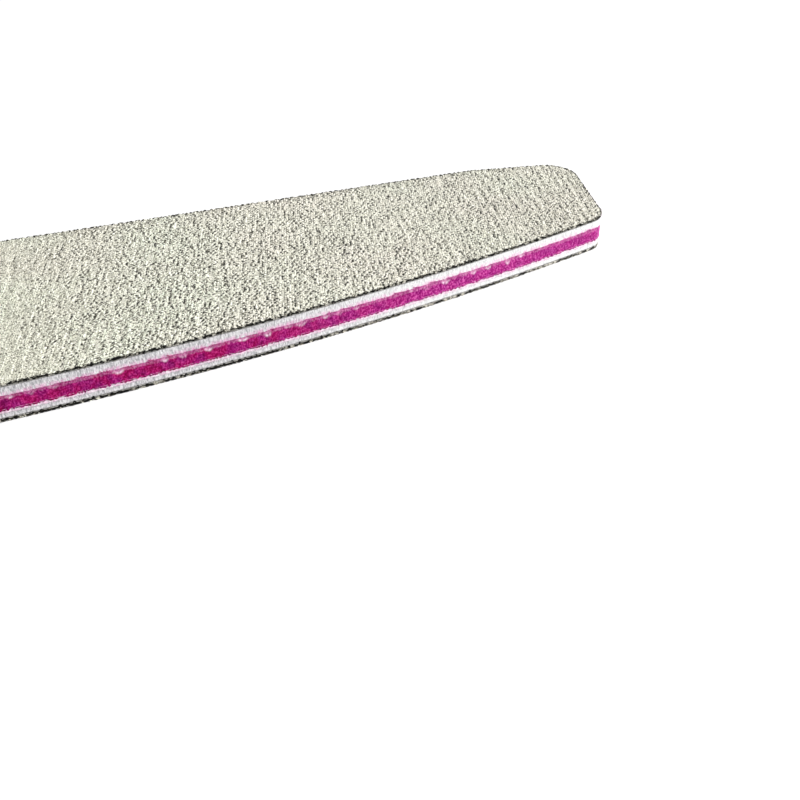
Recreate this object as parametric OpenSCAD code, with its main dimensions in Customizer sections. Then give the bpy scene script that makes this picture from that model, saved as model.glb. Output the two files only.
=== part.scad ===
// Half-moon nail board: one long edge is straight, the other is a shallow arc, and both
// ends are cut blunt with round corners. It is a flat laminate. From the outside in, each
// face has a grit coat, its backing paper and a tape film, then a soft foam layer and a
// bond film, and all of them are pressed on one stiff coloured core.
// Millimetres, +Z up. The origin is the middle of the underside, +X runs along the
// board and +Y points to the straight edge.

/* [Outline] */
// Overall length of the board
board_length = 178; // [140:1:220]
// Width across the middle, from the arc's crown to the straight edge
board_width = 29; // [24:0.5:36]
// Radius of the arc along the curved edge
arc_radius = 312; // [280:1:600]
// Length of the stretch at each end where the straight edge is drawn in
draw_in_length = 12; // [8:0.5:20]
// Angle at which that stretch is drawn in, in degrees
draw_in_angle = 9.5; // [0.5:0.5:14]
// Lean of the end cut, in degrees: its straight-edge side reaches out further
end_lean = 11.5; // [0:0.5:14]
// Radius of the end's corner on the straight-edge side
straight_corner_radius = 3.6; // [1:0.1:5]
// Radius of the end's corner on the curved side
arc_corner_radius = 2.6; // [1:0.1:4]

/* [Layers] */
// Thickness of a grit coat: grains, binder and dry lubricant together
grit_coat_thickness = 0.16; // [0.1:0.01:0.3]
// Thickness of the paper that carries the grit
backing_paper_thickness = 0.1; // [0.08:0.01:0.2]
// Thickness of the double-sided tape between paper and foam
tape_film_thickness = 0.06; // [0.04:0.01:0.12]
// Thickness of one foam layer
foam_layer_thickness = 0.92; // [0.5:0.02:2]
// Thickness of the glue line between foam and core
bond_film_thickness = 0.04; // [0.03:0.01:0.1]
// Thickness of the coloured core
core_thickness = 1.44; // [0.8:0.02:2.4]

/* [Hidden] */

// Arcs are drawn with this many sides to the full turn
$fn = 360;
// A flat cutter reaches this far past what it cuts
overcut = 1;

// Height of each layer's underside, counted up from the surface that the board lies on
bottom_grit_z = 0;
bottom_paper_z = bottom_grit_z + grit_coat_thickness;
bottom_tape_z = bottom_paper_z + backing_paper_thickness;
lower_foam_z = bottom_tape_z + tape_film_thickness;
lower_bond_z = lower_foam_z + foam_layer_thickness;
core_z = lower_bond_z + bond_film_thickness;
upper_bond_z = core_z + core_thickness;
upper_foam_z = upper_bond_z + bond_film_thickness;
top_tape_z = upper_foam_z + foam_layer_thickness;
top_paper_z = top_tape_z + tape_film_thickness;
top_grit_z = top_paper_z + backing_paper_thickness;

// Height of the straight edge in the plan
straight_y = board_width / 2;
// Where the drawn-in stretch starts
draw_in_x = board_length / 2 - draw_in_length;
// Centre of the long arc
arc_centre = [0, arc_radius - board_width / 2];

// Corner on the straight-edge side: its circle touches the drawn-in line from inside,
// and its outermost point is the board's end
straight_corner_x = board_length / 2 - straight_corner_radius;
straight_corner = [
    straight_corner_x,
    straight_y - (straight_corner_x - draw_in_x) * tan(draw_in_angle)
        - straight_corner_radius / cos(draw_in_angle)
];

// Outward normal of the end cut, and its direction towards the curved edge
end_normal = [cos(end_lean), -sin(end_lean)];
end_along = [-sin(end_lean), -cos(end_lean)];

// Corner on the curved side: its circle touches the end cut and the long arc from inside.
// The centre lies on a line beside the end cut, where that line meets the long arc
// moved in by the corner's radius.
arc_corner_start = straight_corner + (straight_corner_radius - arc_corner_radius) * end_normal;
arc_corner_offset = arc_corner_start - arc_centre;
arc_corner_run = -(arc_corner_offset * end_along) + sqrt(
    pow(arc_corner_offset * end_along, 2) - arc_corner_offset * arc_corner_offset
        + pow(arc_radius - arc_corner_radius, 2));
arc_corner = arc_corner_start + arc_corner_run * end_along;

// Points where the straight lines and the long arc meet the corner circles
draw_in_touch = straight_corner
    + straight_corner_radius * [sin(draw_in_angle), cos(draw_in_angle)];
end_touch_straight_side = straight_corner + straight_corner_radius * end_normal;
end_touch_arc_side = arc_corner + arc_corner_radius * end_normal;
arc_touch = arc_corner
    + arc_corner_radius * (arc_corner - arc_centre) / norm(arc_corner - arc_centre);

// One end's straight lines, from the straight edge round to the curved edge
end_points = [
    [draw_in_x, straight_y],
    draw_in_touch,
    end_touch_straight_side,
    end_touch_arc_side,
    arc_touch,
    [arc_touch.x, -straight_y - overcut]
];
far_end_points = [for (i = [len(end_points) - 1 : -1 : 0]) [-end_points[i].x, end_points[i].y]];

// Plan of the whole board: the long arc trimmed to the straight lines, with round corners
module board_plan() {
    intersection() {
        translate(arc_centre) circle(r = arc_radius);
        polygon(concat(end_points, far_end_points));
    }
    for (side = [-1, 1]) {
        translate([side * straight_corner.x, straight_corner.y])
            circle(r = straight_corner_radius);
        translate([side * arc_corner.x, arc_corner.y])
            circle(r = arc_corner_radius);
    }
}

// One layer of the laminate. All layers are cut together, so they share the plan.
module layer(z, thickness) {
    translate([0, 0, z]) linear_extrude(height = thickness) board_plan();
}

// Silicon carbide grains under a whitish dry lubricant; the board lies on this coat
module bottom_grit_coat() {
    color("#c9c7b6") layer(bottom_grit_z, grit_coat_thickness);
}

// Paper of the lower abrasive sheet
module bottom_backing_paper() {
    color("#57534a") layer(bottom_paper_z, backing_paper_thickness);
}

// Double-sided tape that holds the lower abrasive sheet
module bottom_tape_film() {
    color("#e4e2dc") layer(bottom_tape_z, tape_film_thickness);
}

// Soft white foam under the core
module lower_foam_layer() {
    color("#f2f1f2") layer(lower_foam_z, foam_layer_thickness);
}

// Glue line between the core and the lower foam
module lower_bond_film() {
    color("#e9c9dc") layer(lower_bond_z, bond_film_thickness);
}

// Stiff magenta plastic strip that keeps the board straight
module coloured_core() {
    color("#b03a83") layer(core_z, core_thickness);
}

// Glue line between the core and the upper foam
module upper_bond_film() {
    color("#e9c9dc") layer(upper_bond_z, bond_film_thickness);
}

// Soft white foam over the core
module upper_foam_layer() {
    color("#f2f1f2") layer(upper_foam_z, foam_layer_thickness);
}

// Double-sided tape that holds the upper abrasive sheet
module top_tape_film() {
    color("#e4e2dc") layer(top_tape_z, tape_film_thickness);
}

// Paper of the upper abrasive sheet
module top_backing_paper() {
    color("#57534a") layer(top_paper_z, backing_paper_thickness);
}

// Silicon carbide grains under a whitish dry lubricant; the upper working face
module top_grit_coat() {
    color("#c9c7b6") layer(top_grit_z, grit_coat_thickness);
}

bottom_grit_coat();
bottom_backing_paper();
bottom_tape_film();
lower_foam_layer();
lower_bond_film();
coloured_core();
upper_bond_film();
upper_foam_layer();
top_tape_film();
top_backing_paper();
top_grit_coat();
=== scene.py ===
"""Looks of a half-moon nail board: a flat laminate with grit on both faces and a striped cut edge.

Metres, +Z up. The origin is the middle of the underside, +X runs along the board and +Y points
to the straight edge. The pieces come in the order in which the board is laid up, from the
coloured core outwards, and then the floor, the lights and the camera.
"""
import math

import bpy
import numpy as np
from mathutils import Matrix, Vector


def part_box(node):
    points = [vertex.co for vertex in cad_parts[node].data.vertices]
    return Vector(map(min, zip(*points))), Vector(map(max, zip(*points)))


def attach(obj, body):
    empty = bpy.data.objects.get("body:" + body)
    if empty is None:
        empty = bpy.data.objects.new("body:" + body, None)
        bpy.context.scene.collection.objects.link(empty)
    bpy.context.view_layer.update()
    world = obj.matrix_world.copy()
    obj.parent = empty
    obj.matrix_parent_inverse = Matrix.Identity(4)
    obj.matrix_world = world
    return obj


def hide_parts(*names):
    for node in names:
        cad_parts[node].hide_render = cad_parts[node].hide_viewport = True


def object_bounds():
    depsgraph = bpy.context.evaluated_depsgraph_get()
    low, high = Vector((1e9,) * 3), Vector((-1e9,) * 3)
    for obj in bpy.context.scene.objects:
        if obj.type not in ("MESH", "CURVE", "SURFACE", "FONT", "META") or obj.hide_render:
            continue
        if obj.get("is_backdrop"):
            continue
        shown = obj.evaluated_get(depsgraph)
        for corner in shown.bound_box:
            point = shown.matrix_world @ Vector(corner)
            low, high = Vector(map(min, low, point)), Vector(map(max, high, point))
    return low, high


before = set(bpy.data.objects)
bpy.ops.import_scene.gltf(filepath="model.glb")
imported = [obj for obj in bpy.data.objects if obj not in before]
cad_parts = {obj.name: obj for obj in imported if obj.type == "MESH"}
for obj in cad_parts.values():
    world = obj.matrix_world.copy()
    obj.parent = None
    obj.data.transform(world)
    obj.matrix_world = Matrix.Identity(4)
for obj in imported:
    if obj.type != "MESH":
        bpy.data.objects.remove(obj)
cad_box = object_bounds()

# Coloured core: the stiff magenta plastic strip that keeps the board straight. It is stamped out
# together with all the layers glued on it. The blade bites its way along the edge: each bite
# starts with a small shell-shaped chip, and the plastic and the foam are dragged over each other.
ARC_RADIUS = 0.312
DRAW_IN_LENGTH = 0.012
DRAW_IN_ANGLE = math.radians(9.5)
END_LEAN = math.radians(11.5)
STRAIGHT_CORNER_RADIUS = 0.0036
ARC_CORNER_RADIUS = 0.0026
CORE_STEP = 0.00013
CORE_ROWS = 16
BITE_PITCH = 0.002
BITE_SCATTER = 0.2
BITE_STRENGTHS = (0.2, 1.1)
BITE_DEPTH = 0.00005
BITE_LEAN = 0.0004
RIPPLE_DEPTH = 0.00001
RIPPLE_PITCH = 0.0004
RIPPLE_SLANT = 0.003
CHIP_STRENGTHS = (-0.7, 1.3)
CHIP_SIZES = (0.55, 1.25)
CHIP_WIDTH = 0.0004
CHIP_HEIGHT = 0.00048
CHIP_DEPTH = 0.00006
CHIP_SCUFF = 0.4
GLINT_WIDTH = 0.22
GLINT_PITCH = 0.0004
SCUFF_HEIGHT = 0.0005
SCUFF_START = 1.4
SCUFF_LIMIT = 0.46
DRAG_DOWN = 0.00012
LIP_RISE = 0.0003
LIP_RAMP = 0.12
LIP_FALL = 0.8
LEAST_LIP = 0.00001
LOWER_LIP = 0.00014
LOWER_SWAY = 0.00006
LIP_STAND = 0.00003
LIP_TEETH = 0.00005
TEETH_PITCH = 0.0003
LOWER_TEETH = 0.000095
LOWER_TEETH_PITCH = 0.00024
LIP_ROOT = -0.00002
LIP_ROWS = (3, 4)
END_PURPLE_SHARE = 0.75
DRIFT_START = 0.044
DRIFT_END = 0.063
SCREEN_GAMMA = 2.2


def even_walk(points, count):
    """Points at even distances along a path, from its start to its end."""
    walked = np.concatenate([[0.0], np.hypot(*np.diff(points, axis=0).T).cumsum()])
    places = np.linspace(0.0, walked[-1], count)
    return np.stack([np.interp(places, walked, column) for column in points.T], axis=1)


def circle_stretch(centre, radius, start, stop, count=400):
    """Part of a circle, as a dense path: centre plus radius times (cos, sin) of an even turn."""
    turn = np.linspace(start, stop, count)
    return centre + radius * np.stack([np.cos(turn), np.sin(turn)], axis=1)


def board_sides(count):
    """The curved and the straight side of the plan, each count points from left to right.

    Each end cut leans by END_LEAN and touches two corner circles from outside. The straight
    side's corner circle also touches the drawn-in line, and the curved side's one touches the
    long arc from inside. Both sides run from end cut to end cut over their corner circles, and
    their left half is the mirror image of their right half.
    """
    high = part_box("coloured_core")[1]
    draw_in_x = high.x - DRAW_IN_LENGTH
    arc_centre = np.array([0.0, ARC_RADIUS - high.y])
    corner_x = high.x - STRAIGHT_CORNER_RADIUS
    corner = np.array([corner_x, high.y - (corner_x - draw_in_x) * math.tan(DRAW_IN_ANGLE)
                       - STRAIGHT_CORNER_RADIUS / math.cos(DRAW_IN_ANGLE)])
    outward = np.array([math.cos(END_LEAN), -math.sin(END_LEAN)])
    down_cut = np.array([-math.sin(END_LEAN), -math.cos(END_LEAN)])
    start = corner + (STRAIGHT_CORNER_RADIUS - ARC_CORNER_RADIUS) * outward
    offset = start - arc_centre
    along = offset @ down_cut
    run = -along + math.sqrt(along ** 2 - offset @ offset + (ARC_RADIUS - ARC_CORNER_RADIUS) ** 2)
    arc_corner = start + run * down_cut
    meet = math.atan2(*(arc_corner - arc_centre)[::-1])
    curved = np.vstack([
        circle_stretch(arc_centre, ARC_RADIUS, -math.pi / 2, meet)[:-1],
        circle_stretch(arc_corner, ARC_CORNER_RADIUS, meet, -END_LEAN)])
    straight = np.vstack([
        [[0.0, high.y], [draw_in_x, high.y]],
        circle_stretch(corner, STRAIGHT_CORNER_RADIUS, math.pi / 2 - DRAW_IN_ANGLE, -END_LEAN)])
    mirror = np.array([-1.0, 1.0])
    return [even_walk(np.vstack([(side * mirror)[:0:-1], side]), count) for side in (curved, straight)]


def board_patch(step):
    """The whole plan as a grid of points: straight rungs from the curved to the straight side."""
    curved, straight = board_sides(int(2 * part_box("coloured_core")[1].x / step))
    rung_count = int((straight[0, 1] - curved[0, 1]) / step)
    share = np.linspace(0.0, 1.0, rung_count)[:, None, None]
    return (1 - share) * curved + share * straight


def board_loop(step):
    """The plan's outline once round, anticlockwise from above: points, normals, distance walked."""
    patch = board_patch(step)
    loop = np.vstack([patch[0, :-1], patch[:-1, -1], patch[-1, :0:-1], patch[:0:-1, 0]])
    chord = np.roll(loop, -1, axis=0) - np.roll(loop, 1, axis=0)
    normal = np.stack([chord[:, 1], -chord[:, 0]], axis=1) / np.hypot(*chord.T)[:, None]
    walked = np.hypot(*(loop - np.roll(loop, 1, axis=0)).T).cumsum()
    return loop, normal, walked


def wander(walked, pitch, seed, shift=0.0, count=24):
    """Smooth random curve round the loop, mostly from -1 to 1, that closes on itself.

    A sum of count cosines with whole numbers of waves round the board, near one wave per
    pitch, moved along the loop by shift.
    """
    dice = np.random.default_rng(seed)
    waves = np.unique((walked[-1] / pitch * dice.uniform(0.5, 1.5, count)).round())
    phase = dice.uniform(0.0, 2 * math.pi, len(waves))
    turn = 2 * math.pi * np.multiply.outer((walked + shift) / walked[-1], waves) + phase
    return np.cos(turn).sum(axis=-1) / math.sqrt(len(waves))


def band_piece(name, node, slot, finish, loop, normal, rows, tube=False, **marks):
    """A band round the outline that stands for a node, from rows of (stand-out, height), lowest first.

    Each row is the loop moved out along its normals. The band is closed by a flat face over its
    first and last row, or as a tube by joining its last row to its first.
    """
    stand, height = (np.array([np.broadcast_to(row[part], len(loop)) for row in rows])
                     for part in (0, 1))
    outline = loop + stand[..., None] * normal
    corners = np.concatenate([outline, height[..., None]], axis=-1).reshape(-1, 3)
    index = np.arange(stand.size).reshape(stand.shape)
    above = np.roll(index, -1, axis=0) if tube else index[1:]
    below = index if tube else index[:-1]
    quads = np.stack([below, np.roll(below, -1, axis=1), np.roll(above, -1, axis=1), above], axis=-1)
    faces = quads.reshape(-1, 4).tolist()
    if not tube:
        faces += [index[0, ::-1].tolist(), index[-1].tolist()]
    return show_mesh(name, node, slot, finish, corners, faces, True, **marks)


def show_mesh(name, node, slot, finish, corners, faces, smooth, **marks):
    """Puts a mesh in the scene as a piece that stands for a node, with one value a corner per mark."""
    mesh = bpy.data.meshes.new(name)
    mesh.from_pydata(corners, [], faces)
    for mark, values in marks.items():
        layer = mesh.attributes.new(mark, "FLOAT", "POINT")
        layer.data.foreach_set("value", np.ascontiguousarray(values, dtype=np.float32).ravel())
    mesh.polygons.foreach_set("use_smooth", np.full(len(mesh.polygons), smooth))
    mesh.materials.append(finish)
    mesh.update()
    piece = bpy.data.objects.new(name, mesh)
    bpy.context.scene.collection.objects.link(piece)
    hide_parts(node)
    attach(piece, "root")
    return piece


def new_finish(name, gloss):
    """A node material: its nodes, its links, its Principled surface and the object's coordinates."""
    finish = bpy.data.materials.new(name)
    finish.use_nodes = True
    nodes, links = finish.node_tree.nodes, finish.node_tree.links
    surface = nodes["Principled BSDF"]
    surface.inputs["Specular IOR Level"].default_value = gloss
    place = nodes.new("ShaderNodeTexCoord").outputs["Object"]
    return finish, nodes, links, surface, place


def speckle(nodes, links, place, size, detail=2.0, upright=1.0, rough=0.5):
    """Cloudy pattern from 0 to 1, of patches about size across and upright times as high."""
    cloud = nodes.new("ShaderNodeTexNoise")
    cloud.inputs["Scale"].default_value = 1.0 / size
    cloud.inputs["Detail"].default_value = detail
    cloud.inputs["Roughness"].default_value = rough
    squeeze = nodes.new("ShaderNodeMapping")
    squeeze.inputs["Scale"].default_value = (1.0, 1.0, 1.0 / upright)
    links.new(place, squeeze.inputs["Vector"])
    links.new(squeeze.outputs["Vector"], cloud.inputs["Vector"])
    return cloud.outputs["Fac"]


def spread(nodes, links, amount, start, stop):
    """Amount stretched so that it goes from 0 at start to 1 at stop, and no further."""
    stretch = nodes.new("ShaderNodeMapRange")
    stretch.inputs["From Min"].default_value = start
    stretch.inputs["From Max"].default_value = stop
    links.new(amount, stretch.inputs["Value"])
    return stretch.outputs["Result"]


def toward_ends(nodes, links, place):
    """0 in the board's middle, rising to 1 at its two ends."""
    split = nodes.new("ShaderNodeSeparateXYZ")
    links.new(place, split.inputs[0])
    from_middle = reckon(nodes, links, "ABSOLUTE", split.outputs["X"], 0.0)
    return spread(nodes, links, from_middle, DRIFT_START, DRIFT_END)


def tint(nodes, links, amount, stops):
    """Colour by amount, from stops of (amount, red, green, blue) in screen values up to 255."""
    ramp = nodes.new("ShaderNodeValToRGB")
    while len(ramp.color_ramp.elements) < len(stops):
        ramp.color_ramp.elements.new(1.0)
    for element, (at, *screen) in zip(ramp.color_ramp.elements, stops):
        element.position = at
        element.color = [(value / 255) ** SCREEN_GAMMA for value in screen] + [1.0]
    links.new(amount, ramp.inputs["Fac"])
    return ramp.outputs["Color"]


def reckon(nodes, links, operation, first, second):
    """One step of arithmetic on two values or sockets."""
    step = nodes.new("ShaderNodeMath")
    step.operation = operation
    for value, socket in ((first, step.inputs[0]), (second, step.inputs[1])):
        if isinstance(value, bpy.types.NodeSocket):
            links.new(value, socket)
        else:
            socket.default_value = value
    return step.outputs[0]


def blend_colour(nodes, links, share, first, second, mode="MIX"):
    """First colour, with the second one laid over it by share."""
    mix = nodes.new("ShaderNodeMix")
    mix.data_type = "RGBA"
    mix.blend_type = mode
    mix.inputs["Factor"].default_value = 1.0
    if isinstance(share, bpy.types.NodeSocket):
        links.new(share, mix.inputs["Factor"])
    links.new(first, mix.inputs["A"])
    links.new(second, mix.inputs["B"])
    return mix.outputs["Result"]


def relief(nodes, links, surface, height, depth):
    """Fine bump of a given depth from a pattern."""
    bump = nodes.new("ShaderNodeBump")
    bump.inputs["Strength"].default_value = 1.0
    bump.inputs["Distance"].default_value = depth
    links.new(height, bump.inputs["Height"])
    links.new(bump.outputs["Normal"], surface.inputs["Normal"])


def matting(nodes, links, surface, amount, start, stop):
    """Roughness that goes from start, where amount is 0, to stop, where it is 1."""
    grade = nodes.new("ShaderNodeMapRange")
    grade.inputs["To Min"].default_value = start
    grade.inputs["To Max"].default_value = stop
    links.new(amount, grade.inputs["Value"])
    links.new(grade.outputs["Result"], surface.inputs["Roughness"])


def mark(nodes, name):
    """The value that the mesh carries under this name."""
    reader = nodes.new("ShaderNodeAttribute")
    reader.attribute_name = name
    return reader.outputs["Fac"]


# Crimson and purple plastic in blotches, more purple and painted paler, as painted light, towards the
# ends, pale where the blade scuffed it, and with a painted highlight along the rims of the chips.
core_finish, nodes, links, surface, place = new_finish("magenta_plastic", gloss=0.05)
fine = speckle(nodes, links, place, 0.00016, detail=3.0, upright=1.4, rough=0.7)
crimson = tint(nodes, links, fine, [(0.38, 124, 2, 66), (0.50, 162, 8, 91), (0.62, 202, 56, 132)])
purple = tint(nodes, links, fine, [(0.38, 118, 4, 80), (0.50, 156, 16, 111), (0.62, 198, 70, 150)])
# Towards the ends the plastic turns more purple, which is its own colour, and is painted paler there as
# painted light.
purple_with_painted_light = tint(nodes, links, fine, [(0.38, 138, 20, 106), (0.50, 186, 50, 145), (0.62, 228, 112, 192)])
pale = tint(nodes, links, fine, [(0.34, 166, 78, 128), (0.66, 234, 166, 204)])
# Painted highlight: the pale pink colour of the glint along the chip rims.
painted_highlight = tint(nodes, links, fine, [(0.34, 250, 204, 232), (0.66, 255, 240, 250)])
blotches = spread(nodes, links, speckle(nodes, links, place, 0.0014), 0.40, 0.60)
core_colour = blend_colour(nodes, links, blotches, purple, crimson)
end_purple_share = reckon(nodes, links, "MULTIPLY", toward_ends(nodes, links, place), END_PURPLE_SHARE)
core_colour = blend_colour(nodes, links, end_purple_share, core_colour, purple_with_painted_light)
mottling = tint(nodes, links, speckle(nodes, links, place, 0.0007, detail=3.0), [
    (0.38, 222, 204, 222), (0.56, 255, 255, 255)])
core_colour = blend_colour(nodes, links, 1.0, core_colour, mottling, "MULTIPLY")
scratches = speckle(nodes, links, place, 0.0003, detail=3.0)
scuffed = reckon(nodes, links, "ADD", scratches, mark(nodes, "scuff"))
scuffed = spread(nodes, links, scuffed, 0.74, 1.3)
core_colour = blend_colour(nodes, links, scuffed, core_colour, pale)
core_colour = blend_colour(nodes, links, mark(nodes, "glint"), core_colour, painted_highlight)
links.new(core_colour, surface.inputs["Base Color"])
matting(nodes, links, surface, scuffed, start=0.42, stop=0.75)
tearing = speckle(nodes, links, place, 0.00012, detail=3.0, upright=2.0)
relief(nodes, links, surface, tearing, depth=0.00002)

loop, normal, walked = board_loop(CORE_STEP)
core_low, core_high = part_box("coloured_core")
core_height = core_high.z - core_low.z

# Bites of uneven length, each with its own strength, and a chip of its own size at each notch
# between two bites. About one notch in three has none.
dice = np.random.default_rng(11)
bite_count = int(walked[-1] / BITE_PITCH)
bite_places = np.arange(bite_count) + dice.uniform(-BITE_SCATTER, BITE_SCATTER, bite_count)
bite_starts = bite_places * walked[-1] / bite_count
bite_starts[0] = 0.0
bite_lengths = np.diff(np.append(bite_starts, walked[-1]))
bite_strength = dice.uniform(*BITE_STRENGTHS, bite_count)
chip_strength = np.clip(dice.uniform(*CHIP_STRENGTHS, bite_count), 0.0, 1.0)
chip_size = dice.uniform(*CHIP_SIZES, (2, bite_count))

# Stand-out of the cut, from the lower face (share 0) to the upper one (share 1): half a sine wave
# over each bite, less a half, stronger towards the top, with a slanting ripple on it.
share = np.linspace(0.0, 1.0, CORE_ROWS)[:, None]
places = (walked - BITE_LEAN * (1.0 - share)) % walked[-1]
bite = np.searchsorted(bite_starts, places, side="right") - 1
through = (places - bite_starts[bite]) / bite_lengths[bite]
bulge = (np.sin(math.pi * through) - 0.5) * (0.2 + 0.8 * share ** 2)
stand = BITE_DEPTH * bite_strength[bite] * bulge
stand += RIPPLE_DEPTH * wander(walked, RIPPLE_PITCH, seed=12, shift=RIPPLE_SLANT * share)

# Chips: a bowl round each notch at the upper face, one less the squared distance from its middle in
# chip sizes. A painted highlight lies where that distance is near one, and the chip is scuffed inside.
chip = np.where(through < 0.5, bite, (bite + 1) % bite_count)
from_notch = np.minimum(through, 1.0 - through) * bite_lengths[bite]
from_notch /= CHIP_WIDTH * chip_size[0, chip]
under_top = (1.0 - share) * core_height / (CHIP_HEIGHT * chip_size[1, chip])
from_chip = np.hypot(from_notch, under_top)
stand -= CHIP_DEPTH * chip_strength[chip] * np.clip(1.0 - from_chip ** 2, 0.0, 1.0)
# The glint is a painted highlight round each chip's rim, fading out towards the top.
glint = chip_strength[chip] * np.exp(-((from_chip - 1.0) / GLINT_WIDTH) ** 2)
glint *= np.clip(2.5 * under_top - 0.8, 0.0, 1.0)
glint *= np.clip(0.9 + 0.7 * wander(walked, GLINT_PITCH, seed=13), 0.1, 1.2)
scuff = np.clip(SCUFF_START * (1.0 - (1.0 - share) * core_height / SCUFF_HEIGHT), 0.0, SCUFF_LIMIT)
scuff = scuff + CHIP_SCUFF * chip_strength[chip] * np.clip((1.1 - from_chip) / 0.4, 0.0, 1.0)

# Border with the upper foam: each bite lifts it at its start, lets it sink towards its end, and tears
# fine teeth in it. Above the core's face it is a lip of plastic, and below it a flap of foam hangs
# over the core. The lower lip is plastic dragged down over the foam, with finer teeth.
lip_shape = np.minimum(through[-1] / LIP_RAMP, 1.0) * (1.0 - LIP_FALL * through[-1])
border = LIP_RISE * bite_strength[bite[-1]] * lip_shape - DRAG_DOWN
border += LIP_TEETH * wander(walked, TEETH_PITCH, seed=14)
border_walked = walked
upper_lip = np.clip(border, LEAST_LIP, None)
lower_lip = LOWER_LIP + LOWER_SWAY * wander(walked, BITE_PITCH, seed=16)
lower_lip = np.clip(lower_lip + LOWER_TEETH * wander(walked, LOWER_TEETH_PITCH, seed=15), 0.0, None)
rows = [(LIP_ROOT, core_low.z),
        (LIP_ROOT, core_low.z - lower_lip),
        (stand[0] + LIP_STAND, core_low.z - lower_lip),
        *zip(stand, core_low.z + share * core_height),
        (stand[-1] + LIP_STAND, core_high.z + 0.5 * upper_lip),
        (stand[-1] + 0.6 * LIP_STAND, core_high.z + 0.9 * upper_lip),
        (LIP_ROOT, core_high.z + upper_lip),
        (LIP_ROOT, core_high.z)]

# The marks of the outermost rows go on over the lips, but the lower lip has no painted highlight.
scuff = np.pad(scuff, (LIP_ROWS, (0, 0)), mode="edge")
glint = np.pad(glint, (LIP_ROWS, (0, 0)), mode="edge")
glint[:LIP_ROWS[0]] = 0.0
band_piece("core_strip", "coloured_core", "magenta_core", core_finish, loop, normal, rows,
           scuff=scuff, glint=glint)

# Bond films: the glue lines on both sides of the core. The glue creeps out a hair's breadth
# under the press and takes up colour from the plastic dust of the cut.
BOND_STEP = 0.0003
BOND_CREEP = 0.000012
BOND_BEAD_PITCH = 0.0012

bond_finish, nodes, links, surface, place = new_finish("tinted_glue", gloss=0.2)
ripples = speckle(nodes, links, place, 0.0006, detail=3.0)
links.new(tint(nodes, links, ripples, [(0.35, 196, 110, 164), (0.65, 226, 176, 206)]),
          surface.inputs["Base Color"])
matting(nodes, links, surface, ripples, start=0.25, stop=0.65)
relief(nodes, links, surface, ripples, depth=0.00001)


def film_rows(node, walked, creep, pitch, seed):
    """Rows of a squeezed-out film: nothing at its faces, and a wandering bead between them."""
    low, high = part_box(node)
    bead = creep * np.clip(0.8 + 0.8 * wander(walked, pitch, seed), 0.0, None)
    return [(0.0, low.z), (bead, 0.7 * low.z + 0.3 * high.z),
            (bead, 0.3 * low.z + 0.7 * high.z), (0.0, high.z)]


loop, normal, walked = board_loop(BOND_STEP)
for node, seed in (("lower_bond_film", 21), ("upper_bond_film", 22)):
    band_piece(node + "_bead", node, "bond_film", bond_finish, loop, normal,
               film_rows(node, walked, BOND_CREEP, BOND_BEAD_PITCH, seed))

# Foam layers: soft white closed-cell foam that lets the board give under the finger. The blade
# presses it in as it cuts: its edge is a little hollow, with fine upright cut marks, a flap of the
# upper layer hangs over the core, and the lower one swells out under it. Magenta dust blushes both.
FOAM_STEP = 0.00013
FOAM_ROWS = 14
FOAM_HOLLOW = 0.00003
CUT_MARK_DEPTH = 0.000007
CUT_MARK_PITCH = 0.0006
CUT_MARK_SLANT = 0.0002
BROAD_MARK_SHARE = 0.7
BROAD_MARK_PITCH = 0.0017
BROAD_MARK_SLANT = 0.0005
FLAP_STAND = 0.00003
FLAP_ROOT = -0.00006
LEAST_FLAP = 0.00001
SWELL_PITCH = 0.0012
SWELL_STAND = 0.00008
SWELL_PLACE = 0.00027
SWELL_HEIGHT = 0.0001
BLUSH_REACH = 0.0005
BLUSH_STRENGTH = 0.85
HIGHLIGHT_LEVELS = (0.00084, 0.00098)
HIGHLIGHT_STRENGTH = 0.9
GRIME_AND_SHADOW_REACH = 0.0002
CELL_SIZE = 0.00014

# White foam, greyed by painted shade towards the middle. Pink dust lies next to the core. Next to the
# tapes it is darker, with grime at the upper one and painted shadow at the lower one, and a painted
# highlight runs along the swelling under the core.
foam_finish, nodes, links, surface, place = new_finish("white_foam", gloss=0.2)
fine = speckle(nodes, links, place, 0.00015, detail=3.0, upright=2.5)
# Painted shade: the foam is painted greyer towards the middle of the board.
painted_shade_white = tint(nodes, links, fine, [(0.34, 166, 166, 170), (0.50, 214, 213, 215), (0.66, 244, 243, 244)])
clean = tint(nodes, links, fine, [(0.34, 212, 213, 213), (0.50, 240, 241, 240), (0.66, 251, 252, 251)])
white = blend_colour(nodes, links, toward_ends(nodes, links, place), painted_shade_white, clean)
level = nodes.new("ShaderNodeSeparateXYZ")
links.new(place, level.inputs[0])
from_middle = reckon(nodes, links, "SUBTRACT", level.outputs["Z"], (core_low.z + core_high.z) / 2)
from_middle = reckon(nodes, links, "ABSOLUTE", from_middle, 0.0)
near_core = spread(nodes, links, from_middle, core_height / 2 + BLUSH_REACH, core_height / 2)
dust = reckon(nodes, links, "POWER", near_core, 1.4)
patches = spread(nodes, links, speckle(nodes, links, place, 0.0003, detail=4.0, upright=1.5), 0.36, 0.62)
patches = reckon(nodes, links, "MULTIPLY", patches, BLUSH_STRENGTH)
pink = tint(nodes, links, speckle(nodes, links, place, 0.0005, detail=3.0), [
    (0.3, 214, 96, 168), (0.7, 240, 156, 210)])
foam_colour = blend_colour(nodes, links, reckon(nodes, links, "MULTIPLY", dust, patches), white, pink)
foam_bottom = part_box("lower_foam_layer")[0].z
foam_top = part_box("upper_foam_layer")[1].z
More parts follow.
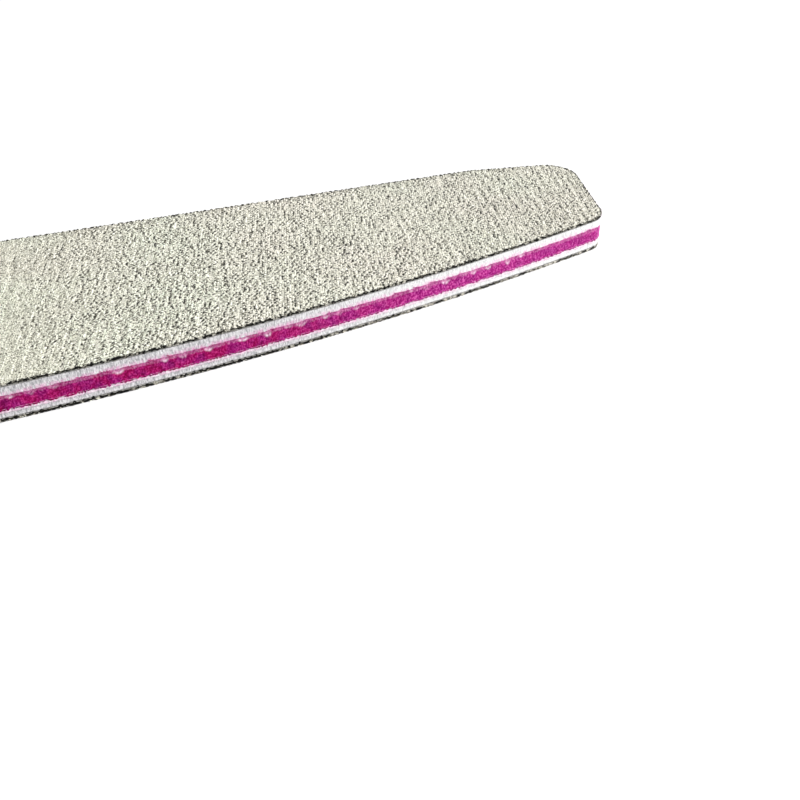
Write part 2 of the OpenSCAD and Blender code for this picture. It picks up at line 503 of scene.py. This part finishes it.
# Next to the lower tape this darkening is painted shadow, and next to the upper tape it is grime.
near_bottom = spread(nodes, links, level.outputs["Z"], foam_bottom + GRIME_AND_SHADOW_REACH, foam_bottom)
near_top = spread(nodes, links, level.outputs["Z"], foam_top - GRIME_AND_SHADOW_REACH, foam_top)
near_tape = reckon(nodes, links, "MAXIMUM", near_bottom, near_top)
grime_and_shadow_mask = reckon(nodes, links, "ADD", speckle(nodes, links, place, 0.0003, detail=4.0), near_tape)
grime_and_shadow_mask = spread(nodes, links, grime_and_shadow_mask, 0.72, 1.25)
grime_and_shadow = tint(nodes, links, speckle(nodes, links, place, 0.0003), [
    (0.4, 76, 77, 72), (0.6, 150, 150, 144)])
foam_colour = blend_colour(nodes, links, grime_and_shadow_mask, foam_colour, grime_and_shadow)
# Painted highlight: a bright, broken line on the lower foam just under the core, along its swelling.
painted_highlight_line = spread(nodes, links, level.outputs["Z"], *HIGHLIGHT_LEVELS)
painted_highlight_line = reckon(nodes, links, "MULTIPLY", painted_highlight_line, HIGHLIGHT_STRENGTH)
below_core = reckon(nodes, links, "LESS_THAN", level.outputs["Z"], core_low.z)
broken = spread(nodes, links, speckle(nodes, links, place, 0.00025, detail=3.0), 0.34, 0.54)
painted_highlight_line = reckon(nodes, links, "MULTIPLY", painted_highlight_line, reckon(nodes, links, "MULTIPLY", below_core, broken))
painted_highlight = tint(nodes, links, speckle(nodes, links, place, 0.0004, detail=3.0), [
    (0.35, 240, 190, 220), (0.6, 253, 236, 247)])
foam_colour = blend_colour(nodes, links, painted_highlight_line, foam_colour, painted_highlight)
links.new(foam_colour, surface.inputs["Base Color"])
cells = nodes.new("ShaderNodeTexVoronoi")
cells.inputs["Scale"].default_value = 1.0 / CELL_SIZE
links.new(place, cells.inputs["Vector"])
matting(nodes, links, surface, cells.outputs["Distance"], start=0.65, stop=0.9)
relief(nodes, links, surface, cells.outputs["Distance"], depth=0.00003)

# Each edge is hollow as a parabola of its height, with fine and broad cut marks as waves that slant
# along it. The lower one swells as a bell curve of the distance from the core.
loop, normal, walked = board_loop(FOAM_STEP)
for node, seed in (("lower_foam_layer", 31), ("upper_foam_layer", 32)):
    low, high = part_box(node)
    rows = []
    swell = SWELL_STAND * np.clip(1.0 + 0.4 * wander(walked, SWELL_PITCH, seed + 5), 0.3, 2.0)
    for share in np.linspace(0.0, 1.0, FOAM_ROWS):
        hollow = FOAM_HOLLOW * (1.0 - (2.0 * share - 1.0) ** 2)
        fine_marks = wander(walked, CUT_MARK_PITCH, seed, CUT_MARK_SLANT * share)
        broad_marks = wander(walked, BROAD_MARK_PITCH, seed + 3, BROAD_MARK_SLANT * share)
        cut_marks = CUT_MARK_DEPTH * (fine_marks + BROAD_MARK_SHARE * broad_marks)
        cut = cut_marks * (0.2 + 0.8 * math.sin(math.pi * share)) - hollow
        if node == "lower_foam_layer":
            from_core = (1.0 - share) * (high.z - low.z)
            cut = cut + swell * math.exp(-((from_core - SWELL_PLACE) / SWELL_HEIGHT) ** 2)
        rows.append((cut, low.z + share * (high.z - low.z)))
    if node == "upper_foam_layer":
        flap = np.clip(-np.interp(walked, border_walked, border), LEAST_FLAP, None)
        rows[0] = (rows[0][0] + FLAP_STAND, rows[0][1])
        rows = [(FLAP_ROOT, low.z), (FLAP_ROOT, low.z - 0.6 * flap),
                (0.5 * FLAP_STAND, low.z - flap), (FLAP_STAND, low.z - 0.7 * flap)] + rows
    band_piece(node + "_edge", node, "white_foam", foam_finish, loop, normal, rows)

# Tape films: the double-sided tape that holds each abrasive sheet on its foam. Only a thin
# whitish line of it shows, slightly squeezed out.
TAPE_STEP = 0.0003
TAPE_CREEP = 0.00001
TAPE_BEAD_PITCH = 0.0015

tape_finish, nodes, links, surface, place = new_finish("tape", gloss=0.2)
ripples = speckle(nodes, links, place, 0.0008)
links.new(tint(nodes, links, ripples, [(0.35, 138, 137, 130), (0.65, 214, 212, 206)]),
          surface.inputs["Base Color"])
matting(nodes, links, surface, ripples, start=0.2, stop=0.6)
relief(nodes, links, surface, ripples, depth=0.00001)
loop, normal, walked = board_loop(TAPE_STEP)
for node, seed in (("bottom_tape_film", 41), ("top_tape_film", 42)):
    band_piece(node + "_bead", node, "tape_film", tape_finish, loop, normal,
               film_rows(node, walked, TAPE_CREEP, TAPE_BEAD_PITCH, seed))

# Backing papers: the tough paper that carries the grit, stuck to the tape. Its cut edge is fibrous
# and black with the dust of crushed grains, which the blade drags a little way over the tape. It
# makes the thin dark line along the rim.
PAPER_STEP = 0.00012
PAPER_FRAY = 0.000022
FRAY_PITCH = 0.00035
PAPER_LEVELS = (0.0, 0.35, 0.7, 1.0)
PAPER_ROOT = -0.00002
DUST_DRAG = 0.00008
DRAG_PITCH = 0.0006
UNDERSIDE_DRAG = 1.5
UNDERSIDE_SHADOW = 0.032
SHADOW_END_FADE = 0.09


def black_dust_and_shadow(nodes, links, place):
    """Pattern of the dust on the cut edges, low where it lies thick.

    Along the underside it is lowered in the middle, as painted shadow, and raised towards the ends.
    """
    split = nodes.new("ShaderNodeSeparateXYZ")
    links.new(place, split.inputs[0])
    under = reckon(nodes, links, "LESS_THAN", split.outputs["Z"], core_low.z)
    shadow_fade = reckon(nodes, links, "MULTIPLY", toward_ends(nodes, links, place), SHADOW_END_FADE)
    more = reckon(nodes, links, "SUBTRACT", UNDERSIDE_SHADOW, shadow_fade)
    more = reckon(nodes, links, "MULTIPLY", under, more)
    lying = speckle(nodes, links, place, 0.0005, detail=4.0, rough=0.6)
    return reckon(nodes, links, "SUBTRACT", lying, more)


paper_finish, nodes, links, surface, place = new_finish("backing_paper", gloss=0.2)
# The paper's edge is painted darker along the underside, as painted shadow.
dust = black_dust_and_shadow(nodes, links, place)
links.new(tint(nodes, links, dust, [
    (0.42, 5, 5, 4), (0.52, 16, 16, 13), (0.57, 112, 110, 100), (0.63, 206, 203, 192)]),
    surface.inputs["Base Color"])
matting(nodes, links, surface, dust, start=0.95, stop=0.75)
relief(nodes, links, surface, speckle(nodes, links, place, 0.00005), depth=0.00001)

# Frayed rows that wander each on their own, and the dragged dust as a strip of wandering height.
loop, normal, walked = board_loop(PAPER_STEP)
for node, seed in (("bottom_backing_paper", 51), ("top_backing_paper", 61)):
    low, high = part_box(node)
    rows = [(PAPER_FRAY * (0.6 + wander(walked, FRAY_PITCH, seed + number)),
             low.z + height * (high.z - low.z)) for number, height in enumerate(PAPER_LEVELS)]
    drag = DUST_DRAG * np.clip(0.3 + wander(walked, DRAG_PITCH, seed + 7), 0.02, None)
    if node == "top_backing_paper":
        rows = [(PAPER_ROOT, low.z), (PAPER_ROOT, low.z - drag), (PAPER_FRAY, low.z - drag)] + rows
    else:
        drag *= UNDERSIDE_DRAG
        rows += [(PAPER_FRAY, high.z + drag), (PAPER_ROOT, high.z + drag), (PAPER_ROOT, high.z)]
    band_piece(node + "_edge", node, "backing_paper", paper_finish, loop, normal, rows)

# Grit coats: crushed silicon carbide grains standing in a binder, in faint leaning streaks, under a
# cream dry lubricant. Towards the middle of the board the grains are painted paler and flatter, a
# painted haze of glare. Dark pits show where grains have come out, and where the blade went through the
# coat, it is crushed black.
BINDER_SHARE = 0.34
BINDER_STEP = 0.0005
STREAK_LEAN = math.radians(12.5)
STREAK_PITCH = 0.0013
STREAK_LENGTH = 0.008
STREAK_RISE = 0.00003
STREAK_PAINTED_LIGHT = 0.14
STREAK_COUNT = 30
OUTLINE_STEP = 0.0008
GRAIN_LEAN = math.radians(40)
GRAIN_STRETCH = 1.7
GRAIN_SINK = 0.00005
GRAIN_PITCH = 0.0002
GRAIN_SPACING = 0.87
GRAIN_SCATTER = 0.25
GRAIN_GAPS = (0.00001, 0.00012)
LOST_SHARE = 0.06
OWN_LUCK = 0.8
SHARED_LUCK = 0.45
GRAIN_REACHES = {"coarse": 0.000138, "middling": 0.000126, "fine": 0.000114, "finest": 0.000104}
GRAIN_TONE = 0.84
GRAIN_CONTRAST = 3.4
GRAIN_WEAR = 0.28
WEAR_START = 0.058
WEAR_END = 0.04
GRAIN_HAZE = 0.94
HAZE_START = 0.047
HAZE_END = 0.022
LEAST_TONE = 0.05
GRAIN_RISE = 0.66
RIM_PITCH = 0.00023
RIM_DEPTH = 0.00013
RIM_REACH = 0.00013
RIM_STRETCH = 1.1
RIM_BARE_SHARE = 0.6
RIM_TONE = 0.6
RIM_TONE_SPREAD = 0.25
EDGE_STEP = 0.00012
EDGE_DEPTH = 0.00003
EDGE_FRAY = 0.000015
EDGE_FRAY_PITCH = 0.0003
JAG_PITCH = 0.0006
JAG_SWAY_PITCH = 0.003
THIN_RANGE = (0.05, 0.08)
THIN_SHARES = (0.4, -0.4)

# The binder is mottled with powder, the grains are dark where bare and cream where coated, and the
# crushed edge is black where dust lies on it.
binder_finish, nodes, links, surface, place = new_finish("grit_binder", gloss=0.15)
powder = speckle(nodes, links, place, 0.00016, detail=3.0)
links.new(tint(nodes, links, powder, [
    (0.35, 104, 102, 90), (0.46, 210, 208, 192), (0.57, 250, 248, 234)]), surface.inputs["Base Color"])
matting(nodes, links, surface, powder, start=0.8, stop=1.0)
relief(nodes, links, surface, speckle(nodes, links, place, 0.00008), depth=0.00002)

grain_finish, nodes, links, surface, place = new_finish("coated_grains", gloss=0.15)
crystals = spread(nodes, links, speckle(nodes, links, place, 0.00014), 0.34, 0.50)
# The tone mark carries the grains' own tones and the painted shade towards their feet.
crystals = reckon(nodes, links, "MULTIPLY", mark(nodes, "tone"), crystals)
grain_colour = tint(nodes, links, crystals, [
    (0.00, 24, 22, 18), (0.22, 86, 84, 72), (0.46, 230, 228, 212), (0.68, 255, 254, 243)])
broad = tint(nodes, links, speckle(nodes, links, place, 0.012), [
    (0.35, 252, 248, 247), (0.65, 249, 254, 248)])
links.new(blend_colour(nodes, links, 1.0, grain_colour, broad, "MULTIPLY"), surface.inputs["Base Color"])
matting(nodes, links, surface, crystals, start=0.28, stop=0.45)
relief(nodes, links, surface, speckle(nodes, links, place, 0.00006), depth=0.000012)

cut_finish, nodes, links, surface, place = new_finish("crushed_grit", gloss=0.15)
# The crushed edge is painted darker along the underside, as painted shadow.
dust = black_dust_and_shadow(nodes, links, place)
links.new(tint(nodes, links, dust, [
    (0.42, 5, 5, 4), (0.51, 18, 18, 15), (0.56, 120, 117, 104), (0.62, 222, 218, 200)]),
    surface.inputs["Base Color"])
matting(nodes, links, surface, dust, start=0.65, stop=0.4)
relief(nodes, links, surface, speckle(nodes, links, place, 0.00006), depth=0.000015)


def streaks(x, y):
    """Height of the coating's streaks over the plan, mostly from -1 to 1.

    A sum of cosine waves one streak pitch long across the streaks, each of them drawn out to
    about a streak length along them.
    """
    dice = np.random.default_rng(70)
    across = x * math.cos(STREAK_LEAN) - y * math.sin(STREAK_LEAN)
    along = x * math.sin(STREAK_LEAN) + y * math.cos(STREAK_LEAN)
    pitches = STREAK_PITCH * dice.uniform(0.6, 1.4, STREAK_COUNT)
    slants = dice.normal(0.0, 1.0, STREAK_COUNT)
    phases = dice.uniform(0.0, 1.0, STREAK_COUNT)
    total = sum(np.cos(2 * math.pi * (across / pitch + slant * along / STREAK_LENGTH + phase))
                for pitch, slant, phase in zip(pitches, slants, phases))
    return total / math.sqrt(STREAK_COUNT)


def depth_inside(places):
    """How far each place lies inside the outline: the least distance to the lines along its sides."""
    loop, normal, _ = board_loop(OUTLINE_STEP)
    reach = (loop * normal).sum(axis=1)
    return (reach - places @ normal.T).min(axis=1)


def scattered(pitch, dice):
    """Places over the plan, in slanting files one pitch apart and spaced out along them, each
    moved at random, with their depth inside the outline and their luck.

    The luck is a random number that leans on the one behind it in the file, less the mean of
    the same in the files on its left and right, so that short files of lucky grains stand
    beside unlucky ones.
    """
    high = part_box("coloured_core")[1]
    slant = math.tan(GRAIN_LEAN)
    file_pitch = pitch / math.cos(GRAIN_LEAN)
    y = np.arange(-high.y, high.y, GRAIN_SPACING * GRAIN_STRETCH * pitch * math.cos(GRAIN_LEAN))
    x = np.arange(-high.x - slant * high.y, high.x + slant * high.y, file_pitch)
    grid = np.stack(np.meshgrid(x, y), axis=-1)
    grid[1::2, :, 0] += file_pitch / 2
    grid[..., 0] += slant * grid[..., 1]
    moves = dice.uniform(-GRAIN_SCATTER, GRAIN_SCATTER, (grid.size // 2, 2))
    places = grid.reshape(-1, 2) + moves * (pitch, GRAIN_STRETCH * pitch)
    draw = dice.uniform(size=grid.shape[:2])
    draw = OWN_LUCK * draw + SHARED_LUCK * np.roll(draw, 1, axis=0)
    luck = draw - 0.5 * (np.roll(draw, 1, axis=1) + np.roll(draw, -1, axis=1))
    depth = depth_inside(places)
    return places[depth > 0], depth[depth > 0], luck.ravel()[depth > 0]


def grains(name, node, finish, places, reach, rise, tone, side, dice, ground, stretch=GRAIN_STRETCH):
    """One crushed grain a place: a lopsided crystal of eight faces, drawn out along the lean.

    Four waist corners stand round the place at uneven turns, distances and heights, a tip
    rises above them, and a foot is sunk in the ground, whose slope the whole grain follows.
    tone is painted with shade: dark at the foot, lighter at the higher waist corners, and the grain's
    own tone at the tip. side is 1 on the upper face, and -1 turns the grain over. stretch is how much
    longer than wide the grain is.
    """
    count = len(places)
    turn = np.arange(4) * math.pi / 2 + dice.uniform(-0.5, 0.5, (count, 4))
    waist = reach[:, None] * dice.uniform(0.75, 1.2, (count, 4))
    lean = GRAIN_LEAN + dice.uniform(-0.5, 0.5, (count, 1))
    along = stretch * waist * np.cos(turn)
    across = waist * np.sin(turn)
    lift = dice.uniform(0.0, 0.4, (count, 4))
    corners = np.zeros((count, 6, 3))
    corners[:, :, :2] = places[:, None]
    corners[:, :4, 0] += along * np.sin(lean) - across * np.cos(lean)
    corners[:, :4, 1] += along * np.cos(lean) + across * np.sin(lean)
    corners[:, 4, :2] += reach[:, None] * dice.uniform(-0.4, 0.4, (count, 2))
    corners[:, :, 2] = ground(corners[:, :, 0], corners[:, :, 1])
    corners[:, :4, 2] += side * rise[:, None] * lift
    corners[:, 4, 2] += side * rise
    corners[:, 5, 2] -= side * GRAIN_SINK
    low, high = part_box(node)
    corners[:, :, 2] = np.clip(corners[:, :, 2], low.z, high.z)
    crystal = np.array([[0, 1, 4], [1, 2, 4], [2, 3, 4], [3, 0, 4],
                        [1, 0, 5], [2, 1, 5], [3, 2, 5], [0, 3, 5]])
    faces = (6 * np.arange(count)[:, None, None] + crystal[:, ::side]).reshape(-1, 3)
    # Painted shade: the foot and the lower waist corners are painted darker than the tip.
    shade = np.empty((count, 6))
    shade[:, :4] = tone[:, None] * (0.85 + 0.25 * lift)
    shade[:, 4] = tone
    shade[:, 5] = 0.5 * tone
    return show_mesh(name, node, "grit", finish, corners.reshape(-1, 3), faces.tolist(), False,
                     tone=np.clip(shade, 0.0, 1.0))


for face, side in (("top", 1), ("bottom", -1)):
    node = face + "_grit_coat"
    low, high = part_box(node)
    base = low.z if side == 1 else high.z
    coat = high.z - low.z
    dice = np.random.default_rng(80 + side)

    def ground(x, y):
        """Height of the binder under a place on this face."""
        return base + side * (BINDER_SHARE * coat + STREAK_RISE * streaks(x, y))

    # Binder: the whole plan at the ground's height, with walls down to the paper.
    patch = board_patch(BINDER_STEP)
    skin = np.concatenate([patch, ground(patch[..., 0], patch[..., 1])[..., None]], axis=-1)
    index = np.arange(skin.size // 3).reshape(skin.shape[:2])
    quads = np.stack([index[:-1, :-1], index[:-1, 1:], index[1:, 1:], index[1:, :-1]], axis=-1)
    rim = np.concatenate([index[0, :-1], index[:-1, -1], index[-1, :0:-1], index[:0:-1, 0]])
    below = index.size + np.arange(len(rim))
    corners = np.vstack([skin.reshape(-1, 3), skin.reshape(-1, 3)[rim] * (1, 1, 0) + (0, 0, base)])
    walls = np.stack([below, np.roll(below, -1), np.roll(rim, -1), rim], axis=-1)
    faces = quads.reshape(-1, 4).tolist() + walls.tolist() + [below[::-1].tolist()]
    show_mesh(face + "_binder", node, "grit", binder_finish, corners, [f[::side] for f in faces], True)

    # Crushed edge: a tube round the outline with a jagged brim. Underneath, it is thin at the ends.
    loop, normal, walked = board_loop(EDGE_STEP)
    jag = 0.7 + 0.7 * wander(walked, JAG_PITCH, 81 + side)
    jag += 0.2 * wander(walked, JAG_SWAY_PITCH, 87 + side)
    if side == -1:
        jag += np.interp(np.abs(loop[:, 0]), THIN_RANGE, THIN_SHARES)
    jag = np.clip(jag, 0.2, 1.0)
    fray = EDGE_FRAY * (1.0 + np.clip(wander(walked, EDGE_FRAY_PITCH, 84 + side), -0.9, 2.0))
    rows = [(fray, base), (fray, base + side * 0.5 * jag * coat), (0.8 * fray, base + side * jag * coat),
            (-EDGE_DEPTH, base + side * (jag - 0.15) * coat), (-2 * EDGE_DEPTH, base)]
    band_piece(face + "_coat_edge", node, "grit", cut_finish, loop, normal, rows[::side], tube=True)

    # Grains in four grades, less those that hang over the outline and those that are lost. Towards
    # the middle they are worn down, and painted paler and flatter as a painted haze of glare.
    places, depth, luck = scattered(GRAIN_PITCH, dice)
    kept = depth > dice.uniform(*GRAIN_GAPS, len(depth))
    kept &= dice.uniform(size=len(depth)) > LOST_SHARE
    places, luck = places[kept], luck[kept]
    grade = dice.integers(len(GRAIN_REACHES), size=len(places))
    for number, (grade_name, grade_reach) in enumerate(GRAIN_REACHES.items()):
        spots = places[grade == number]
        streak = streaks(spots[:, 0], spots[:, 1])
        reach = grade_reach * dice.uniform(0.85, 1.15, len(spots))
        from_middle = np.abs(spots[:, 0])
        worn = GRAIN_WEAR * np.interp(from_middle, [WEAR_END, WEAR_START], [1.0, 0.0])
        # Painted light: towards the middle the grains' tones are flattened towards a pale one, a painted
        # haze of glare.
        hazy = GRAIN_HAZE * np.interp(from_middle, [HAZE_END, HAZE_START], [1.0, 0.0])
        tone = GRAIN_TONE - worn + (1.0 - hazy) * GRAIN_CONTRAST * luck[grade == number]
        # The crests of the streaks are painted lighter and their hollows darker, as painted light on
        # their relief.
        tone = np.clip(tone + STREAK_PAINTED_LIGHT * streak, LEAST_TONE, 1.0)
        rise = GRAIN_RISE * coat * dice.uniform(0.6, 1.0, len(spots)) * (0.35 + 0.65 * tone)
        grains(face + "_" + grade_name + "_grains", node, grain_finish, spots, reach, rise, tone,
               side, dice, ground)

    # Rim grains: one row of stubby grains just inside the outline, most of them bare.
    loop, normal, walked = board_loop(RIM_PITCH)
    places = loop - normal * dice.uniform(0.0, RIM_DEPTH, (len(loop), 1))
    reach = RIM_REACH * dice.uniform(0.6, 1.2, len(loop))
    rise = GRAIN_RISE * coat * dice.uniform(0.5, 1.0, len(loop))
    tone = np.where(dice.uniform(size=len(loop)) < RIM_BARE_SHARE, 0.0, RIM_TONE)
    tone += dice.uniform(0.0, RIM_TONE_SPREAD, len(loop))
    grains(face + "_rim_grains", node, grain_finish, places, reach, rise, tone,
           side, dice, ground, RIM_STRETCH)

# Floor: a plain white sweep under the board. The camera sees it as clean white with the board's
# soft shadow on it, and it fades to plain white with distance. It lights the board no more than a
# white table does.
FLOOR_SIZE = 2.0
FLOOR_WHITE = 0.86
FLOOR_GLOW = 0.2
FLOOR_DROP = 0.00002
FADE_START = 0.12
FADE_END = 0.45


def in_sight(nodes, links):
    """1 where a thing is seen, straight, in gloss or through glass, and 0 where it only gives light."""
    seen = nodes.new("ShaderNodeLightPath").outputs
    mirrored = reckon(nodes, links, "MAXIMUM", seen["Is Glossy Ray"], seen["Is Transmission Ray"])
    return reckon(nodes, links, "MAXIMUM", seen["Is Camera Ray"], mirrored)


floor_finish = bpy.data.materials.new("white_table")
floor_finish.use_nodes = True
nodes, links = floor_finish.node_tree.nodes, floor_finish.node_tree.links
nodes.clear()
paint = nodes.new("ShaderNodeBsdfDiffuse")
paint.inputs["Color"].default_value = (FLOOR_WHITE, FLOOR_WHITE, FLOOR_WHITE, 1.0)
glow = nodes.new("ShaderNodeEmission")
distance = nodes.new("ShaderNodeVectorMath")
distance.operation = "LENGTH"
links.new(nodes.new("ShaderNodeTexCoord").outputs["Object"], distance.inputs[0])
fade = spread(nodes, links, distance.outputs["Value"], FADE_START, FADE_END)
fade.node.inputs["To Min"].default_value = FLOOR_GLOW
links.new(reckon(nodes, links, "MULTIPLY", in_sight(nodes, links), fade), glow.inputs["Strength"])
both = nodes.new("ShaderNodeAddShader")
links.new(paint.outputs[0], both.inputs[0])
links.new(glow.outputs[0], both.inputs[1])
links.new(both.outputs[0], nodes.new("ShaderNodeOutputMaterial").inputs["Surface"])

floor_mesh = bpy.data.meshes.new("floor")
half = FLOOR_SIZE / 2
corners = [(-half, -half, 0), (half, -half, 0), (half, half, 0), (-half, half, 0)]
floor_mesh.from_pydata(corners, [], [(0, 1, 2, 3)])
floor_mesh.materials.append(floor_finish)
floor = bpy.data.objects.new("floor", floor_mesh)
floor.location.z = -FLOOR_DROP
bpy.context.scene.collection.objects.link(floor)
floor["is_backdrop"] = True

# Light: an even room, which shows as plain white behind the board and in its gloss, and one soft
# box beyond the board's right end, which lifts that end of the cut edge and throws the grains'
# shadows to the left.
ROOM_LIGHT = 0.32
KEY_POWER = 21.2
KEY_SIZE = 0.5
KEY_PLACE = (1.05, -0.28, 0.72)

world = bpy.data.worlds.new("room")
bpy.context.scene.world = world
world.use_nodes = True
nodes, links = world.node_tree.nodes, world.node_tree.links
nodes.clear()
room = nodes.new("ShaderNodeBackground")
room.inputs["Color"].default_value = (1.0, 1.0, 1.0, 1.0)
brightness = spread(nodes, links, in_sight(nodes, links), 0.0, 1.0)
brightness.node.inputs["To Min"].default_value = ROOM_LIGHT
links.new(brightness, room.inputs["Strength"])
links.new(room.outputs[0], nodes.new("ShaderNodeOutputWorld").inputs["Surface"])

key = bpy.data.objects.new("key_light", bpy.data.lights.new("key_light", "AREA"))
key.data.energy = KEY_POWER
key.data.size = KEY_SIZE
key.location = KEY_PLACE
bpy.context.scene.collection.objects.link(key)
key.rotation_euler = (-key.location).to_track_quat("-Z", "Y").to_euler()

# Camera: a close view from in front of the right half, looking down over the curved edge. Its
# place, its turns and its focal length are the ones that the photograph was taken with.
CAMERA_PLACE = (0.02782, -0.09622, 0.05611)
CAMERA_DOWN = math.radians(35.68)
CAMERA_TURN = math.radians(-20.01)
PHOTO_FOCAL_PIXELS = 1048.6
PHOTO_PIXELS = 800

camera = bpy.data.objects.new("camera", bpy.data.cameras.new("camera"))
camera.data.sensor_width = 36.0
camera.data.lens = PHOTO_FOCAL_PIXELS / PHOTO_PIXELS * camera.data.sensor_width
camera.data.clip_start = 0.001
camera.location = CAMERA_PLACE
camera.rotation_euler = (math.pi / 2 - CAMERA_DOWN, 0.0, CAMERA_TURN)
bpy.context.scene.collection.objects.link(camera)
bpy.context.scene.camera = camera
bpy.context.scene.view_settings.view_transform = "Standard"

boxes = {"cad": cad_box, "visual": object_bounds()}
{name: [list(corner) for corner in box] for name, box in boxes.items()}
